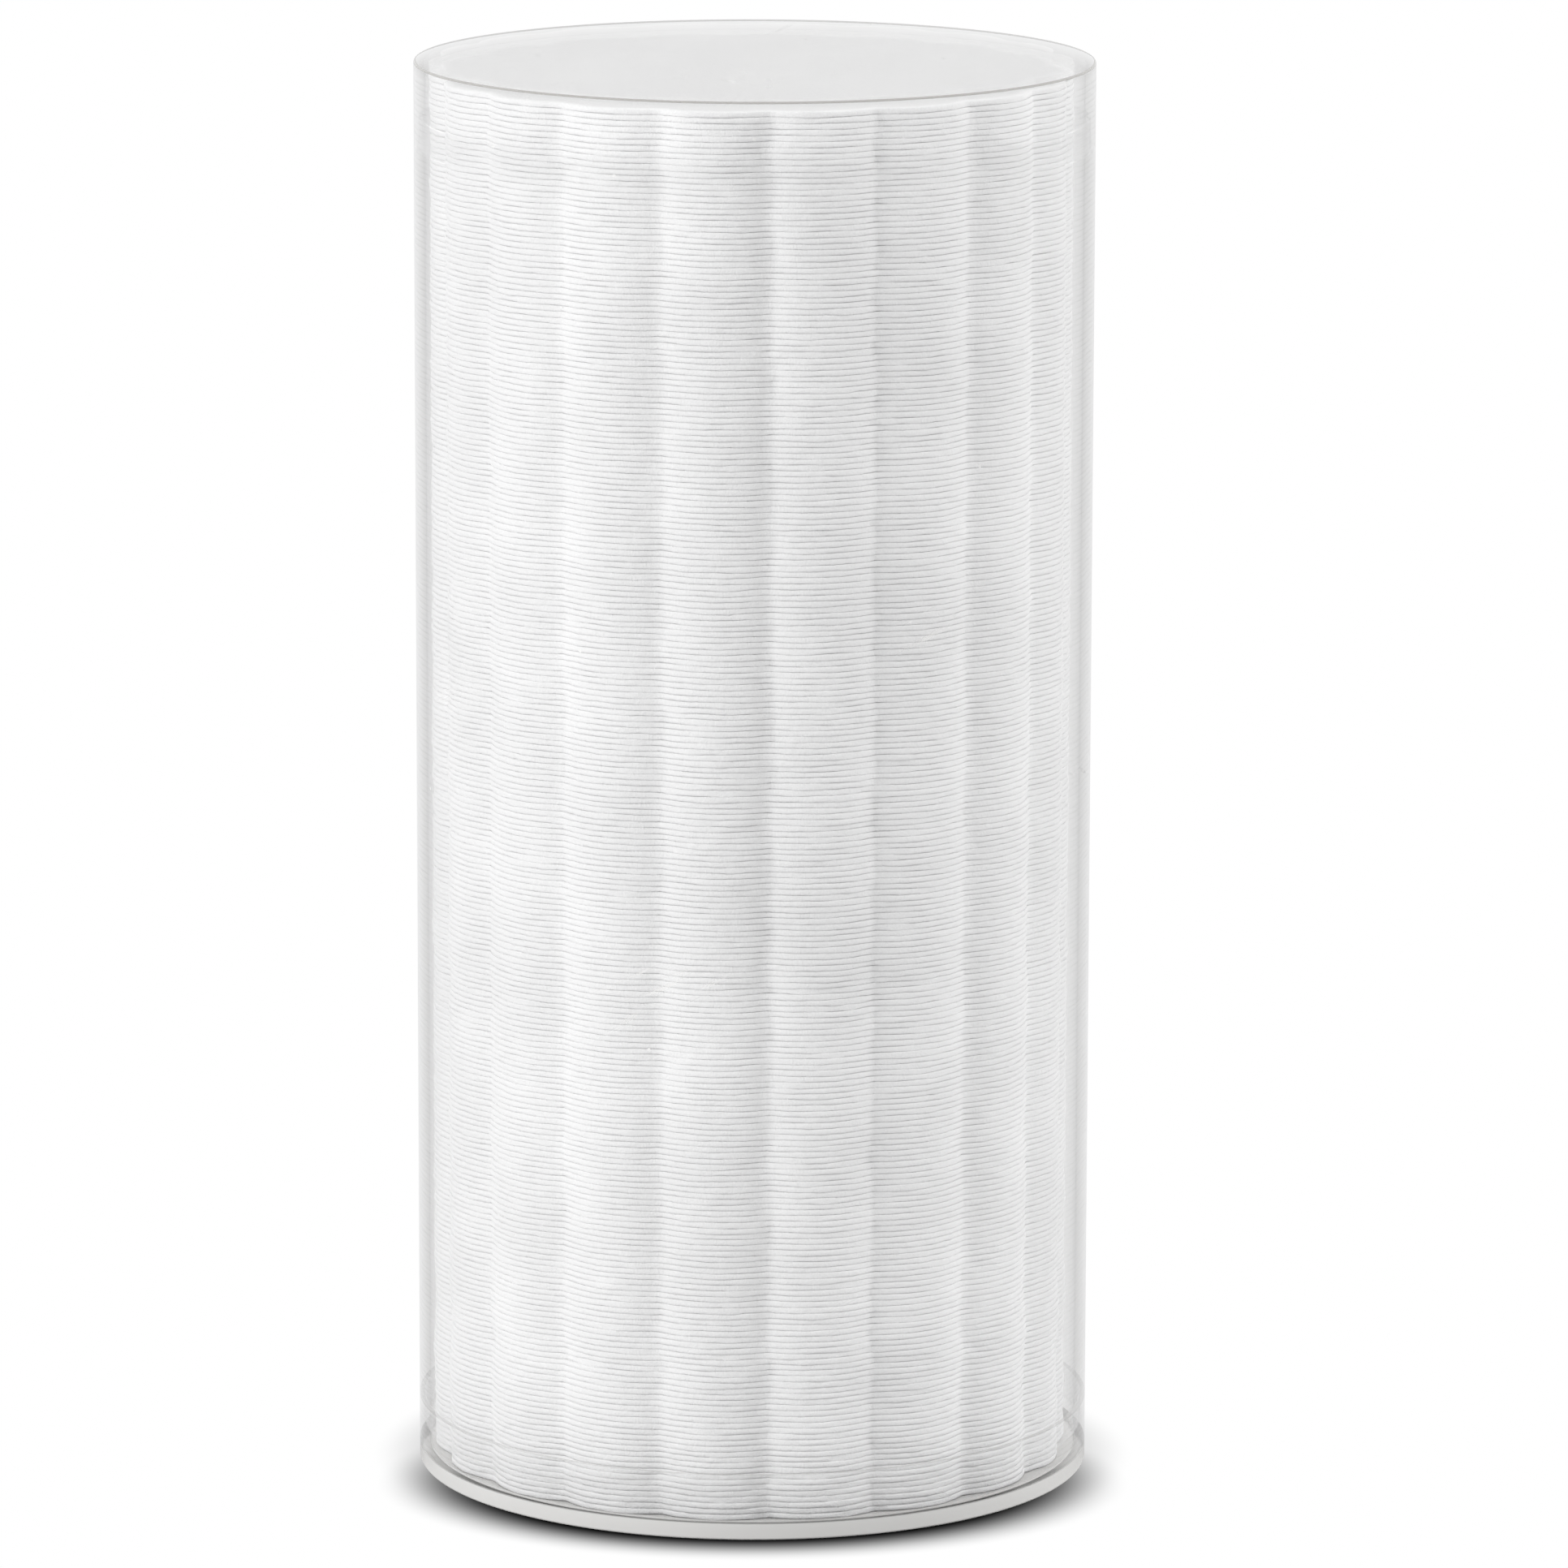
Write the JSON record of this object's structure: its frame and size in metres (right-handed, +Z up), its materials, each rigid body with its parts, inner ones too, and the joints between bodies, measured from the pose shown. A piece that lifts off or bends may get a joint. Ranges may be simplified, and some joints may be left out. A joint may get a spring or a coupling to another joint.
{
  "type": "canister of paper coasters",
  "caption": "Clear round canister with a push-on lid, filled with one tall stack of white scalloped tissue coasters.",
  "frame": {"origin": "centre of the base cap's underside, the face that the canister stands on", "axes": "+Z up along the canister's axis, towards the lid; -Y is the side that faces the viewer, where a valley between two scallops stands 3 degrees right of the middle"},
  "size_m": [0.0952, 0.0952, 0.2006],
  "materials": {
    "lid_plastic": "gloss",
    "tube_plastic": "gloss",
    "base_plastic": "gloss",
    "tissue": "matte"
  },
  "bodies": {
    "canister": {"base_cap": "base_plastic", "coaster_231": "tissue", "coaster_232": "tissue", "coaster_233": "tissue", "coaster_234": "tissue", "coaster_235": "tissue", "coaster_236": "tissue", "coaster_237": "tissue", "coaster_238": "tissue", "coaster_239": "tissue", "coaster_240": "tissue", "coasters_001_to_010": "tissue", "coasters_011_to_020": "tissue", "coasters_021_to_030": "tissue", "coasters_031_to_040": "tissue", "coasters_041_to_050": "tissue", "coasters_051_to_060": "tissue", "coasters_061_to_070": "tissue", "coasters_071_to_080": "tissue", "coasters_081_to_090": "tissue", "coasters_091_to_100": "tissue", "coasters_101_to_110": "tissue", "coasters_111_to_120": "tissue", "coasters_121_to_130": "tissue", "coasters_131_to_140": "tissue", "coasters_141_to_150": "tissue", "coasters_151_to_160": "tissue", "coasters_161_to_170": "tissue", "coasters_171_to_180": "tissue", "coasters_181_to_190": "tissue", "coasters_191_to_200": "tissue", "coasters_201_to_210": "tissue", "coasters_211_to_220": "tissue", "coasters_221_to_230": "tissue", "tube": "tube_plastic"},
    "lid": {"lid": "lid_plastic"}
  },
  "joints": [
    {"name": "lid_lift", "type": "slide", "parent": "canister", "child": "lid", "axis": [0, 0, 1], "range_m": [0, 0.1]}
  ]
}
